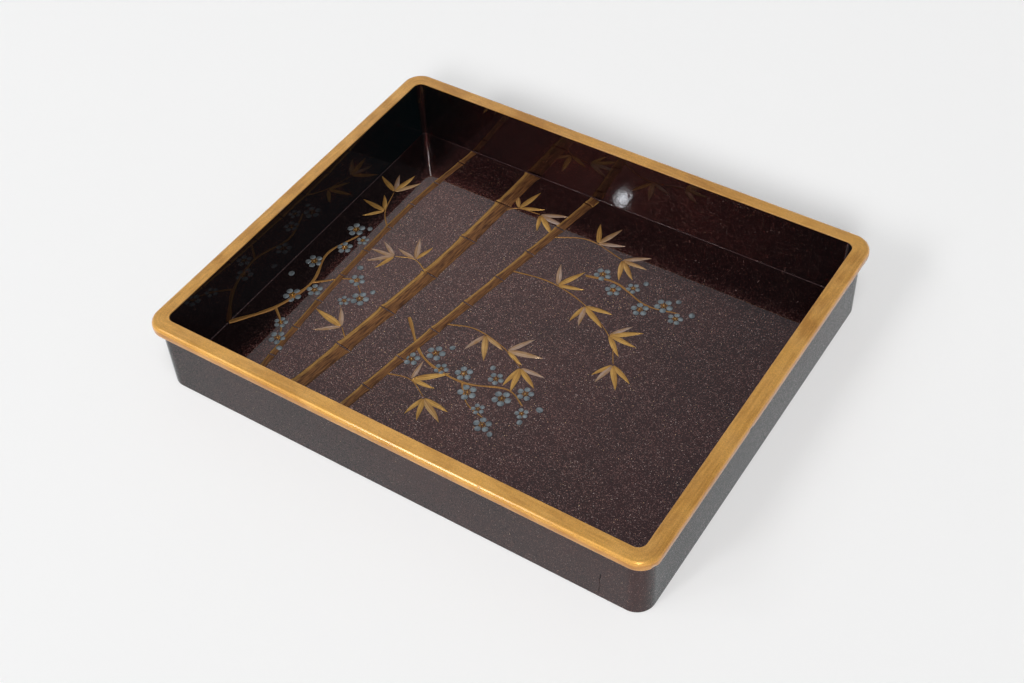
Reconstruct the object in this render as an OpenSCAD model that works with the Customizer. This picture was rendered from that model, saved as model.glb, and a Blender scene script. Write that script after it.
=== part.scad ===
// Large lacquered serving and presentation tray with an overhanging rim.
// A wooden carcass: three edge-joined floor boards pegged up into the rebate
// of four drafted wall boards, four round corner blocks keyed to the walls
// with loose splines, and a four-piece mitred rim moulding that caps them.
// The origin is the middle of the standing plane, +X runs along the long
// side and +Z is up.

/* [Overall] */
// Length over the rim moulding
tray_length = 540; // [480:1:620]
// Width over the rim moulding
tray_width = 442; // [380:1:500]
// Height from the standing edge to the top of the rim
tray_height = 81.5; // [70:0.5:100]
// Height of the inside floor above the standing edge
floor_height = 15; // [12:0.5:20]

/* [Walls] */
// Thickness of a wall under the rim
wall_thickness = 9.5; // [8:0.1:12]
// How much further in the wall's inner face stands at the floor than at the rim
wall_draft = 3; // [0.5:0.1:4]
// Outer radius of the carcass corners
corner_radius = 18; // [16:0.5:26]
// Chamfer round the outer standing edge
foot_chamfer = 1; // [0.4:0.1:2]

/* [Rim] */
// Width of the rim moulding, seen from above
rim_width = 15.6; // [14.5:0.1:20]
// Height of the rim moulding's outer face
rim_height = 10.4; // [8.5:0.1:14]
// Thickness of the rim over the top edge of the walls
rim_cover = 4; // [3:0.1:6]
// Radius of the rim's upper outer edge
nose_radius = 4.6; // [2.5:0.1:5.5]
// Radius of the rim's lower outer edge
lip_radius = 2.2; // [0.8:0.1:2.5]
// Radius of the rim's upper inner edge
inner_edge_radius = 0.9; // [0.4:0.1:1.5]
// Outer corner radius of the rim
rim_corner_radius = 20.3; // [19.5:0.1:24]

/* [Floor] */
// Thickness of the floor boards
board_thickness = 9; // [7:0.5:11]
// Width of the wall's shoulder that bears on the floor boards
floor_seat = 5; // [4:0.1:6]
// Diameter of the dowels between the floor boards
dowel_diameter = 3; // [2:0.1:4]
// Length of a dowel between two floor boards
dowel_length = 24; // [16:1:40]
// Number of dowels in each joint between two floor boards
dowel_count = 5; // [3:1:7]

/* [Joints] */
// Length of a corner block's arm, from its outer face to the wall board's end
corner_arm = 44.5; // [40:0.5:60]
// Thickness of the loose spline between a corner block and a wall
spline_thickness = 3; // [2:0.1:3.5]
// How far a spline reaches into each piece
spline_reach = 8; // [5:0.5:10]
// Wood left above and below a spline
spline_margin = 7; // [4:0.5:12]
// Diameter of the pegs that hold the floor boards
peg_diameter = 2.2; // [1.6:0.1:2.6]
// How far a peg reaches into the wall above the floor boards
peg_reach = 12; // [8:1:20]
// Largest spacing between two floor pegs
peg_spacing = 66; // [45:1:90]
// Glue line round everything that is let into something else
glue_line = 0.1; // [0.05:0.01:0.2]

/* [Hidden] */
$fn = 96;

// Half sizes of the opening inside the rim, from which "out" is measured:
// out = 0 is the inner edge of the rim, positive out is away from the middle
inner_half = [tray_length / 2 - rim_width, tray_width / 2 - rim_width];
wall_top = tray_height - rim_cover;
rebate_out = floor_seat - wall_draft;
inner_radius = corner_radius - wall_thickness;
corner_centre = inner_half - [inner_radius, inner_radius];
board_bottom = floor_height - board_thickness;
board_count = 3;
board_half = inner_half + [rebate_out - glue_line, rebate_out - glue_line];
board_width = 2 * board_half[1] / board_count;
// The straight stretch of a corner block's arm, past the end of its round part
arm_straight = corner_arm - corner_radius;
past = 1; // how far a cutter passes a face

brown_lacquer = [0.17, 0.11, 0.11];
gold_lacquer = [0.72, 0.50, 0.22];
wood = [0.80, 0.66, 0.45];

// Sides in order round the tray: front, right, back, left.
// Each is drawn facing -Y and then turned into place.
side_turn = [0, 90, 180, 270];
function across(side) = side % 2;            // 0 for the long sides, 1 for the short
function half_along(side) = inner_half[across(side)];
function half_deep(side) = inner_half[1 - across(side)];

module on_side(side) {
    rotate([0, 0, side_turn[side]])
        translate([0, -half_deep(side), 0])
            children();
}

// Sweeps a section, drawn as [out, z], along a side from x = -half to half
module along_side(half) {
    translate([half, 0, 0])
        rotate([90, 0, -90])
            linear_extrude(2 * half)
                children();
}

// Rounded rectangle centred on the tray, "out" outside the rim's inner edge
module tray_outline(out, radius) {
    half = inner_half + [out, out];
    core = half - [radius, radius];
    square(2 * [half[0], core[1]], center = true);
    square(2 * [core[0], half[1]], center = true);
    for (x = [-1, 1], y = [-1, 1])
        translate([x * core[0], y * core[1]])
            circle(radius);
}

// Section of the carcass wall as [out, z], with its draft, the rebate that the
// floor boards seat in and the standing edge below them
module wall_section() {
    polygon([
        [rebate_out, 0],
        [wall_thickness - foot_chamfer, 0],
        [wall_thickness, foot_chamfer],
        [wall_thickness, wall_top],
        [0, wall_top],
        [-wall_draft, floor_height],
        [rebate_out, floor_height]
    ]);
}

// Section of the rim moulding before the opening and the wall seat are cut out
// of it, as [out, z], from just outside the axis of its corner out to the nose
module rim_blank_section() {
    foot = tray_height - rim_height;
    start = rim_width - rim_corner_radius + past;
    translate([start, foot])
        square([rim_width - nose_radius - start, rim_height]);
    translate([start, foot])
        square([rim_width - lip_radius - start, rim_height - nose_radius]);
    translate([start, foot + lip_radius])
        square([rim_width - start, rim_height - nose_radius - lip_radius]);
    translate([rim_width - nose_radius, tray_height - nose_radius])
        circle(nose_radius);
    translate([rim_width - lip_radius, foot + lip_radius])
        circle(lip_radius);
}

// Places what is drawn at x = 0 at every floor peg of a side
module at_floor_pegs(side) {
    reach = half_along(side) - inner_radius;
    gaps = ceil(2 * reach / peg_spacing);
    for (i = [0 : gaps])
        on_side(side)
            translate([-reach + i * 2 * reach / gaps, -(floor_seat / 2 - wall_draft), board_bottom])
                children();
}

// The pegs go from under the floor boards up into the walls
module floor_pegs() {
    color(wood)
        for (side = [0 : 3])
            at_floor_pegs(side)
                cylinder(d = peg_diameter, h = board_thickness + peg_reach);
}

module floor_peg_holes() {
    for (side = [0 : 3])
        at_floor_pegs(side)
            translate([0, 0, -past])
                cylinder(
                    d = peg_diameter + 2 * glue_line,
                    h = past + board_thickness + peg_reach + glue_line
                );
}

// Places what is drawn along +Y, with its middle at the origin, in each joint
// between two floor boards
module at_board_dowels() {
    for (joint = [1 : board_count - 1], i = [1 : dowel_count])
        translate([
            -board_half[0] + i * 2 * board_half[0] / (dowel_count + 1),
            -board_half[1] + joint * board_width,
            floor_height - board_thickness / 2
        ])
            rotate([-90, 0, 0])
                children();
}

module board_dowel(clearance) {
    cylinder(d = dowel_diameter + 2 * clearance, h = dowel_length + 2 * clearance, center = true);
}

// One of the edge-joined boards, counted from the front
module floor_board(index) {
    color(brown_lacquer)
        difference() {
            translate([0, 0, board_bottom])
                linear_extrude(board_thickness)
                    intersection() {
                        tray_outline(rebate_out - glue_line, inner_radius + rebate_out - glue_line);
                        translate([-board_half[0], -board_half[1] + index * board_width])
                            square([2 * board_half[0], board_width]);
                    }
            floor_peg_holes();
            at_board_dowels()
                board_dowel(glue_line);
        }
}

module board_dowels() {
    color(wood)
        at_board_dowels()
            board_dowel(0);
}

// The loose spline in the end of a side's wall: at the wall's end nearer the
// side's +X for end = 1, and nearer its -X for end = -1
module at_spline(side, end) {
    on_side(side)
        translate([
            end * (half_along(side) + wall_thickness - corner_arm),
            -wall_thickness / 2,
            (floor_height + wall_top) / 2
        ])
            children();
}

module spline(clearance) {
    cube([
        2 * (spline_reach + clearance),
        spline_thickness + 2 * clearance,
        wall_top - floor_height - 2 * spline_margin + 2 * clearance
    ], center = true);
}

module spline_slots() {
    for (side = [0 : 3], end = [-1, 1])
        at_spline(side, end)
            spline(glue_line);
}

module corner_splines() {
    color(wood)
        for (side = [0 : 3], end = [-1, 1])
            at_spline(side, end)
                spline(0);
}

// The straight board of one side, between two corner blocks
module wall(side) {
    color(brown_lacquer)
        difference() {
            on_side(side)
                along_side(half_along(side) + wall_thickness - corner_arm)
                    wall_section();
            spline_slots();
            floor_peg_holes();
        }
}

// A corner of the carcass, with its round part turned about the corner's own
// axis and an arm along each side. x and y are 1 or -1.
module corner_block(x, y) {
    color(brown_lacquer)
        difference() {
            mirror([x < 0 ? 1 : 0, 0, 0])
                mirror([0, y < 0 ? 1 : 0, 0])
                    translate([corner_centre[0], corner_centre[1], 0]) {
                        rotate_extrude(angle = 90)
                            translate([inner_radius, 0])
                                wall_section();
                        translate([-arm_straight, inner_radius, 0])
                            rotate([90, 0, 90])
                                linear_extrude(arm_straight)
                                    wall_section();
                        translate([inner_radius, 0, 0])
                            rotate([90, 0, 0])
                                linear_extrude(arm_straight)
                                    wall_section();
                    }
            spline_slots();
            floor_peg_holes();
        }
}

// The rim moulding of one side, mitred at both ends. It laps over the top edge
// of the walls and drops down outside them.
module rim(side) {
    rim_axis = half_along(side) + rim_width - rim_corner_radius;
    color(gold_lacquer)
        difference() {
            on_side(side) {
                along_side(rim_axis)
                    rim_blank_section();
                for (end = [0, 1])
                    mirror([end, 0, 0])
                        translate([rim_axis, rim_corner_radius - rim_width, 0])
                            rotate([0, 0, -90])
                                rotate_extrude(angle = 45)
                                    translate([rim_corner_radius - rim_width, 0])
                                        rim_blank_section();
            }
            rim_opening();
            rim_seat();
        }
}

// The opening inside the rim, with its upper edge rounded over
module rim_opening() {
    translate([0, 0, tray_height - rim_height - past])
        linear_extrude(rim_height + 2 * past)
            tray_outline(0, inner_radius);
    for (side = [0 : 3])
        on_side(side)
            along_side(half_along(side) - inner_radius)
                inner_edge_cutter();
    for (x = [0, 1], y = [0, 1])
        mirror([x, 0, 0])
            mirror([0, y, 0])
                translate([corner_centre[0], corner_centre[1], 0])
                    rotate_extrude(angle = 90)
                        translate([inner_radius, 0])
                            inner_edge_cutter();
}

// What is taken off the rim's upper inner edge, as [out, z]
module inner_edge_cutter() {
    difference() {
        translate([-past, tray_height - inner_edge_radius])
            square([inner_edge_radius + past, inner_edge_radius + past]);
        translate([inner_edge_radius, tray_height - inner_edge_radius])
            circle(inner_edge_radius);
    }
}

// The space that the top of the carcass takes up inside the rim
module rim_seat() {
    translate([0, 0, tray_height - rim_height - past])
        linear_extrude(rim_height - rim_cover + past)
            tray_outline(wall_thickness + glue_line, corner_radius + glue_line);
}

floor_board(0);  // floor_board_front
floor_board(1);  // floor_board_middle
floor_board(2);  // floor_board_back
board_dowels();
wall(0);  // wall_front
wall(1);  // wall_right
wall(2);  // wall_back
wall(3);  // wall_left
corner_block(1, -1);  // corner_block_front_right
corner_block(1, 1);  // corner_block_back_right
corner_block(-1, 1);  // corner_block_back_left
corner_block(-1, -1);  // corner_block_front_left
corner_splines();
floor_pegs();
rim(0);  // rim_front
rim(1);  // rim_right
rim(2);  // rim_back
rim(3);  // rim_left
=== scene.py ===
from math import ceil, cos, exp, hypot, pi, radians, sin
from random import Random

import bmesh
import bpy
import numpy as np
from mathutils import Matrix, Vector, noise
from mathutils.kdtree import KDTree


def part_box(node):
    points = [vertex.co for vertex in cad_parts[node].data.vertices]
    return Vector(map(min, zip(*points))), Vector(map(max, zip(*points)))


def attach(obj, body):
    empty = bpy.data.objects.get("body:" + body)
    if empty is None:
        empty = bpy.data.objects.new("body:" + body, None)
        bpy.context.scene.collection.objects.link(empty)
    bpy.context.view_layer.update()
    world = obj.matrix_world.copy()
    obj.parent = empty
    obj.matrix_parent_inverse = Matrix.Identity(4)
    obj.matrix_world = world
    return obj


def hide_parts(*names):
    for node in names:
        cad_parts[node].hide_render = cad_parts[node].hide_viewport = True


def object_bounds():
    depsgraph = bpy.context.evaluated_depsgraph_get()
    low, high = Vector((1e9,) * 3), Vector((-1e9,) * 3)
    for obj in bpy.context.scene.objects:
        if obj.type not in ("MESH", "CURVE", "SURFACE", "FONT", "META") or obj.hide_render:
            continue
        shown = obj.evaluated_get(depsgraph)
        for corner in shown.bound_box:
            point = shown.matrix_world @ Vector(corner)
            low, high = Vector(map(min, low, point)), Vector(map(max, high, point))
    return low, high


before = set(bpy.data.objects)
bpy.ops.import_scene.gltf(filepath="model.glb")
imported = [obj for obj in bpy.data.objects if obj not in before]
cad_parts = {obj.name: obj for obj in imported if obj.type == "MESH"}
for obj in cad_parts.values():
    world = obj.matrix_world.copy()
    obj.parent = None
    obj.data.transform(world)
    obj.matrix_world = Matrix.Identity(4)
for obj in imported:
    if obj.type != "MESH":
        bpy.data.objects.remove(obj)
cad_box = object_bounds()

MM = 0.001

# ------------------------------ sizes
# The tray's own sizes, in metres. "out" is measured level, from the inner
# edge of the rim away from the middle of the tray.
HIGH = Vector(cad_box[1])
RIM_WIDTH = 15.6 * MM
RIM_CORNER_RADIUS = 20.3 * MM
NOSE_RADIUS = 4.6 * MM
LIP_RADIUS = 2.2 * MM
INNER_EDGE_RADIUS = 0.6 * MM
RIM_TOP = HIGH.z
RIM_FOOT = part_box("rim_front")[0].z
WALL_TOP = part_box("wall_front")[1].z
WALL_THICKNESS = 9.5 * MM
WALL_DRAFT = 3.0 * MM
TOP_STEP = 3.0 * MM
FOOT_CHAMFER = 1.0 * MM
FLOOR_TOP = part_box("floor_board_middle")[1].z
FLOOR_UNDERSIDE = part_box("floor_board_middle")[0].z
REBATE_OUT = 2.0 * MM
HALF = (HIGH.x - RIM_WIDTH, HIGH.y - RIM_WIDTH)
INNER_RADIUS = 8.5 * MM
COVE_RADIUS = 1.0 * MM
GOLD_EDGE = RIM_TOP - 1.1 * MM

CORNER_STEPS = 24
STATION_SPACING = 7.0 * MM
MARK_SPACING = 0.3 * MM

# ------------------------------ meshes


def new_object(name, data):
    item = bpy.data.objects.new(name, data)
    bpy.context.scene.collection.objects.link(item)
    return item


def closed_object(name, points, faces, sharp_angle=40):
    """A closed piece with its faces turned outwards and shaded smooth up to an angle."""
    mesh = bpy.data.meshes.new(name)
    mesh.from_pydata([tuple(p) for p in points], [], [tuple(f) for f in faces])
    shell = bmesh.new()
    shell.from_mesh(mesh)
    bmesh.ops.recalc_face_normals(shell, faces=shell.faces)
    shell.to_mesh(mesh)
    shell.free()
    mesh.polygons.foreach_set("use_smooth", [True] * len(mesh.polygons))
    mesh.set_sharp_from_angle(angle=radians(sharp_angle))
    return new_object(name, mesh)


def add_floats(piece, **fields):
    """Values on a piece's points, for its material or its Geometry Nodes to read."""
    for name, values in fields.items():
        field = piece.data.attributes.new(name, "FLOAT", "POINT")
        field.data.foreach_set("value", np.asarray(values, dtype=np.float32))


def band_faces(rings, count, first=0, closed=False):
    """Faces between neighbouring rings of count points, and back to the first ring where closed."""
    faces = []
    for ring in range(rings if closed else rings - 1):
        a = first + ring * count
        b = first + (ring + 1) % rings * count
        for i in range(count):
            k = (i + 1) % count
            faces.append((a + i, a + k, b + k, b + i))
    return faces


def cap_faces(rings, count, first=0):
    """The two faces that close a row of rings."""
    last = first + (rings - 1) * count
    return [tuple(range(first, first + count)), tuple(range(last, last + count))]


def stations_along(half, marks):
    """Places along a side where a ring gets a row of points, close together at the marks."""
    places = list(np.linspace(-half, half, int(ceil(2 * half / STATION_SPACING)) + 1))
    for mark in marks:
        places += [mark + step * MARK_SPACING for step in range(-20, 21)]
    places = sorted(p for p in places if -half <= p <= half)
    kept = [places[0]]
    for place in places[1:]:
        if place - kept[-1] > 0.2 * MM:
            kept.append(place)
    return kept


def ring_outline(half_x, half_y, radius, rows):
    """A rounded rectangle, anticlockwise from the front side's left end, as an N x 2 array.
    rows holds the stations of the front, right, back and left sides."""
    core_x, core_y = half_x - radius, half_y - radius
    sides = (
        [(s, -half_y) for s in rows[0]],
        [(half_x, s) for s in rows[1]],
        [(-s, half_y) for s in rows[2]],
        [(-half_x, -s) for s in rows[3]],
    )
    corners = (
        (core_x, -core_y, -90),
        (core_x, core_y, 0),
        (-core_x, core_y, 90),
        (-core_x, -core_y, 180),
    )
    outline = []
    for side, (x, y, start) in zip(sides, corners):
        outline += side
        for i in range(CORNER_STEPS + 1):
            angle = radians(start + 90 * i / CORNER_STEPS)
            outline.append((x + radius * cos(angle), y + radius * sin(angle)))
    return np.array(outline)


def wall_radius(out):
    """Corner radius of the walls, which have the same corner centres inside and outside."""
    return INNER_RADIUS + out


def rim_radius(out):
    """Corner radius of the rim's outer outlines."""
    return RIM_CORNER_RADIUS - RIM_WIDTH + out


def swept_ring(section, marks):
    """Points and faces of a closed section carried round the tray.
    The section is a list of (out, z, radius at the corners), and marks has a list for each side."""
    widest = max(radius - out for out, z, radius in section) + 0.1 * MM
    rows = [stations_along(HALF[side % 2] - widest, marks[side]) for side in range(4)]
    loops = []
    for out, z, radius in section:
        outline = ring_outline(HALF[0] + out, HALF[1] + out, radius, rows)
        loops.append(np.column_stack([outline, np.full(len(outline), z)]))
    return np.vstack(loops), band_faces(len(loops), len(loops[0]), closed=True)


def arc(centre_out, centre_z, radius, start, end, steps):
    """Points (out, z) on an arc, angles in degrees from the out direction."""
    angles = np.radians(np.linspace(start, end, steps + 1))
    return [(centre_out + radius * cos(a), centre_z + radius * sin(a)) for a in angles]


# ------------------------------ shader helpers


def new_material(name):
    material = bpy.data.materials.new(name)
    material.use_nodes = True
    tree = material.node_tree
    return material, tree, tree.nodes["Principled BSDF"]


def set_inputs(tree, node, inputs):
    """Gives each input its value, or links it where the value is another node's output."""
    for key, value in inputs.items():
        if isinstance(value, bpy.types.NodeSocket):
            tree.links.new(value, node.inputs[key])
        else:
            node.inputs[key].default_value = value


def add_node(tree, kind, inputs=None, **settings):
    node = tree.nodes.new(kind)
    for key, value in settings.items():
        setattr(node, key, value)
    set_inputs(tree, node, inputs or {})
    return node


def math_node(tree, operation, a, b=0.0, clamp=False):
    return add_node(tree, "ShaderNodeMath", {0: a, 1: b}, operation=operation, use_clamp=clamp).outputs[0]


def vector_math(tree, operation, inputs, output=0):
    return add_node(tree, "ShaderNodeVectorMath", inputs, operation=operation).outputs[output]


def colour_mix(tree, factor, a, b, blend="MIX"):
    inputs = {0: factor, 6: a, 7: b}
    return add_node(tree, "ShaderNodeMix", inputs, data_type="RGBA", blend_type=blend).outputs[2]


def rescale(tree, value, low, high, to_low=0.0, to_high=1.0):
    return add_node(tree, "ShaderNodeMapRange", {"Value": value, "From Min": low, "From Max": high,
                                                 "To Min": to_low, "To Max": to_high}).outputs[0]


def object_coordinates(tree):
    return add_node(tree, "ShaderNodeTexCoord").outputs["Object"]


def noise_texture(tree, scale, detail=2.0, roughness=0.5, vector=None):
    return add_node(tree, "ShaderNodeTexNoise", {
        "Scale": scale, "Detail": detail, "Roughness": roughness,
        "Vector": vector or object_coordinates(tree)}).outputs["Fac"]


def bump(tree, height, distance, strength=1.0):
    return add_node(tree, "ShaderNodeBump", {"Height": height, "Distance": distance,
                                             "Strength": strength}).outputs["Normal"]


def attribute(tree, name):
    return add_node(tree, "ShaderNodeAttribute", attribute_name=name).outputs["Fac"]


# ------------------------------ finishes

LACQUER = (0.035, 0.0090, 0.0078, 1)
LACQUER_WARM = (0.047, 0.0112, 0.0095, 1)
CRACK_BLACK = (0.0020, 0.0015, 0.0015, 1)
COPPER_POWDER = (0.365, 0.188, 0.160, 1)
FLAKE_PALE = (0.48, 0.37, 0.34, 1)
FLAKE_GOLD = (0.76, 0.52, 0.28, 1)
RIM_GOLD = (0.95, 0.482, 0.092, 1)
RIM_GOLD_DEEP = (0.54, 0.225, 0.024, 1)
# Pale gold for worn places, and for the highlight painted along the rim's edges.
RIM_GOLD_PALE = (0.80, 0.50, 0.25, 1)
BRONZE_DARK = (0.085, 0.035, 0.018, 1)
BRONZE = (0.30, 0.13, 0.045, 1)
STROKE_HIGHLIGHT_GOLD = (0.60, 0.32, 0.09, 1)
STROKE_GOLD_DEEP = (0.47, 0.235, 0.06, 1)
LEAF_GOLD = (0.86, 0.49, 0.14, 1)
LEAF_GOLD_DEEP = (0.40, 0.19, 0.05, 1)
LEAF_ROSE = (0.62, 0.46, 0.38, 1)
SILVER = (0.36, 0.40, 0.41, 1)
SILVER_DARK = (0.14, 0.16, 0.17, 1)

POWDER_SIZE = 1.15 * MM
FLAKE_SIZE = 0.85 * MM
RAGGED_REACH = 0.9 * MM
FLAKE_LEAN = 0.13
POWDER_GRAIN = 1500.0


def flakes(tree, coordinates, size, share):
    """Metal flakes of about that size: where they lie, and a random value and colour for each."""
    cells = add_node(tree, "ShaderNodeTexVoronoi", {"Vector": coordinates, "Scale": 1 / size})
    chance = add_node(tree, "ShaderNodeSeparateColor", {"Color": cells.outputs["Color"]})
    chosen = math_node(tree, "LESS_THAN", chance.outputs["Red"], share)
    reach = math_node(tree, "MULTIPLY_ADD", chance.outputs["Green"], 0.25)
    reach.node.inputs[2].default_value = 0.22
    spot = math_node(tree, "LESS_THAN", cells.outputs["Distance"], reach)
    return math_node(tree, "MULTIPLY", chosen, spot), chance.outputs["Blue"], cells.outputs["Color"]


def torn_places(tree, coordinates):
    """The coordinates, shifted to and fro a little, so that flakes get ragged outlines."""
    inputs = {"Vector": coordinates, "Scale": POWDER_GRAIN, "Detail": 0.0}
    ragged = add_node(tree, "ShaderNodeTexNoise", inputs).outputs["Color"]
    shift = vector_math(tree, "SCALE", {0: ragged, "Scale": RAGGED_REACH})
    return vector_math(tree, "ADD", {0: coordinates, 1: shift})


def speckled_base(tree, coordinates, powder_share, shine, flake_share, dusted):
    """The lacquer's colour with its powder and flakes in it, and a random colour for each flake."""
    places = torn_places(tree, coordinates)
    cloud = noise_texture(tree, 14.0, 3.0, 0.55, coordinates)
    base = colour_mix(tree, rescale(tree, cloud, 0.35, 0.65), LACQUER, LACQUER_WARM)
    patchy = noise_texture(tree, 60.0, 2.0, 0.6, coordinates)
    powder_part = rescale(tree, patchy, 0.3, 0.7, 0.75 * powder_share, 1.25 * powder_share)
    powder, glow = flakes(tree, places, POWDER_SIZE, powder_part)[:2]
    powder = math_node(tree, "MULTIPLY", powder, rescale(tree, glow, 0.0, 1.0, 0.25 * shine, shine))
    flake_part = rescale(tree, patchy, 0.3, 0.7, 0.6 * flake_share, 1.4 * flake_share)
    if dusted:
        dust = attribute(tree, "dust")
        flake_part = math_node(tree, "ADD", flake_part, math_node(tree, "MULTIPLY", dust, 0.07))
    flake, tint, scatter = flakes(tree, places, FLAKE_SIZE, flake_part)
    if dusted:
        tint = math_node(tree, "ADD", tint, math_node(tree, "MULTIPLY", dust, 0.4), True)
    pale = colour_mix(tree, math_node(tree, "POWER", tint, 5.0), FLAKE_PALE, FLAKE_GOLD)
    base = colour_mix(tree, powder, base, COPPER_POWDER)
    return colour_mix(tree, flake, base, pale), scatter


def leaning_normal(tree, scatter):
    """A normal that leans a little to another side on each flake."""
    tilt = vector_math(tree, "SUBTRACT", {0: scatter, 1: (0.5, 0.5, 0.5)})
    lean = vector_math(tree, "SCALE", {0: tilt, "Scale": FLAKE_LEAN})
    upright = add_node(tree, "ShaderNodeNewGeometry").outputs["Normal"]
    return vector_math(tree, "NORMALIZE", {0: vector_math(tree, "ADD", {0: upright, 1: lean})})


def orange_peel(tree, coordinates):
    """The slight waviness of a brushed and polished top coat."""
    swell = noise_texture(tree, 22.0, 1.0, 0.5, coordinates)
    peel = noise_texture(tree, 340.0, 1.0, 0.5, coordinates)
    return bump(tree, math_node(tree, "ADD", swell, math_node(tree, "MULTIPLY", peel, 0.45)), 0.10 * MM, 0.2)


def flaked_lacquer(name, powder_share, shine, flake_share, haze, coat, coat_roughness,
                   dusted=False, cracked=False):
    """Dark lacquer full of metal dust under a clear polished top coat. Copper powder and pale flakes
    cover powder_share and flake_share of it, shine is the powder's brightness, and haze is the
    roughness under the coat. Dusted lacquer has more flakes where the dust attribute is high, and
    cracked lacquer is dull and black where the crack attribute is."""
    material, tree, shader = new_material(name)
    coordinates = object_coordinates(tree)
    base, scatter = speckled_base(tree, coordinates, powder_share, shine, flake_share, dusted)
    metal, gloss = 0.97, coat
    if cracked:
        crack = attribute(tree, "crack")
        base = colour_mix(tree, crack, base, CRACK_BLACK)
        sound = math_node(tree, "SUBTRACT", 1.0, crack, True)
        metal = math_node(tree, "MULTIPLY", sound, 0.98)
        gloss = math_node(tree, "MULTIPLY", sound, coat)
    set_inputs(tree, shader, {
        "Base Color": base,
        "Metallic": metal,
        "Normal": leaning_normal(tree, scatter),
        "Roughness": haze,
        "Specular IOR Level": 0.0,
        "Specular Tint": (0.25, 0.20, 0.20, 1),
        "Sheen Weight": 0.02,
        "Sheen Roughness": 0.5,
        "Sheen Tint": (0.1, 0.8, 1.0, 1),
        "Coat Weight": gloss,
        "Coat IOR": 1.5,
        "Coat Roughness": coat_roughness,
        "Coat Normal": orange_peel(tree, coordinates)})
    return material


def gold_lacquer():
    """Gold powder laid in lacquer and burnished. The attribute for painted light is high on the front and the
    top, where light falls, and low on the shaded sides; brushed carries lengthwise strokes; and the attribute
    for wear is high where the gold is worn pale, and along the edges, where it paints a highlight as well."""
    material, tree, shader = new_material("burnished_gold_powder")
    coordinates = object_coordinates(tree)
    cloud = noise_texture(tree, 18.0, 4.0, 0.6, coordinates)
    tone = math_node(tree, "ADD", math_node(tree, "MULTIPLY", cloud, 0.8),
                     math_node(tree, "MULTIPLY", attribute(tree, "brushed"), 0.2))
    tone = rescale(tree, tone, 0.36, 0.62, -0.32, 0.32)
    # Adds the painted light and shade of the rim's sides to the random tone.
    tone = math_node(tree, "ADD", tone, attribute(tree, "polish"), True)
    base = colour_mix(tree, tone, RIM_GOLD_DEEP, RIM_GOLD)
    patches = rescale(tree, cloud, 0.35, 0.65, 0.35, 1.0)
    # The gold worn pale, and the highlight painted along the rim's edges.
    pale_share = math_node(tree, "MULTIPLY", attribute(tree, "wear"), patches, True)
    base = colour_mix(tree, pale_share, base, RIM_GOLD_PALE)
    grain = noise_texture(tree, 1100.0, 2.0, 0.7, coordinates)
    speckle = rescale(tree, grain, 0.3, 0.7, 0.72, 1.06)
    shade = add_node(tree, "ShaderNodeCombineColor", {"Red": speckle, "Green": speckle, "Blue": speckle})
    set_inputs(tree, shader, {
        "Base Color": colour_mix(tree, 1.0, base, shade.outputs[0], "MULTIPLY"),
        "Metallic": 0.6,
        "Roughness": rescale(tree, tone, 0.0, 1.0, 0.44, 0.38),
        "Normal": bump(tree, grain, 0.02 * MM, 0.3),
        "Coat Weight": 0.7,
        "Coat Roughness": 0.12})
    return material


def streaked_metal(name, edge, body, deep, roughness):
    """Raised metal-powder picture work with brush streaks along its length, and a highlight painted along one
    side of each stroke in the edge colour. The along and across attributes follow the stroke."""
    material, tree, shader = new_material(name)
    across = attribute(tree, "across")
    place = add_node(tree, "ShaderNodeCombineXYZ", {
        0: math_node(tree, "MULTIPLY", attribute(tree, "along"), 60.0),
        1: math_node(tree, "MULTIPLY", across, 5.0)})
    streak = noise_texture(tree, 1.0, 4.0, 0.65, place.outputs[0])
    body_mix = colour_mix(tree, rescale(tree, streak, 0.38, 0.62), deep, body)
    # Painted highlight: one side of each stroke turns to the edge colour.
    side = math_node(tree, "ADD", across, math_node(tree, "MULTIPLY", streak, 0.9))
    lit = rescale(tree, side, 0.75, 1.25)
    relief = math_node(tree, "ADD", streak, noise_texture(tree, POWDER_GRAIN))
    set_inputs(tree, shader, {
        "Base Color": colour_mix(tree, lit, body_mix, edge),
        "Metallic": 0.75,
        "Roughness": roughness,
        "Normal": bump(tree, relief, 0.08 * MM, 0.5)})
    return material


def veined_metal(name, light, deep, roughness, veins, other=None):
    """Leaf or petal in metal powder, with veins that run along it. Where the tint attribute
    is high, the other metal takes the place of the light one."""
    material, tree, shader = new_material(name)
    across = attribute(tree, "across")
    wave = math_node(tree, "SINE", math_node(tree, "MULTIPLY", across, veins))
    vein = rescale(tree, wave, 0.55, 1.0, 0.0, 0.55)
    tone = noise_texture(tree, 90.0, 3.0, 0.6)
    if other:
        light = colour_mix(tree, rescale(tree, attribute(tree, "tint"), 0.55, 0.75), light, other)
    # One half of each leaf and petal is painted in shade, towards the deep colour.
    half = rescale(tree, across, -0.15, 0.15, 0.0, 0.35)
    shaded = math_node(tree, "ADD", rescale(tree, tone, 0.35, 0.65, 0.0, 0.45), half, True)
    base = colour_mix(tree, shaded, light, deep)
    base = colour_mix(tree, vein, base, deep)
    root = rescale(tree, attribute(tree, "along"), 0.0, 0.35, 0.45, 0.0)
    set_inputs(tree, shader, {
        "Base Color": colour_mix(tree, root, base, deep),
        "Metallic": 0.8,
        "Roughness": roughness,
        "Normal": bump(tree, noise_texture(tree, POWDER_GRAIN), 0.03 * MM, 0.4)})
    return material


# ------------------------------ the tray itself

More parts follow.
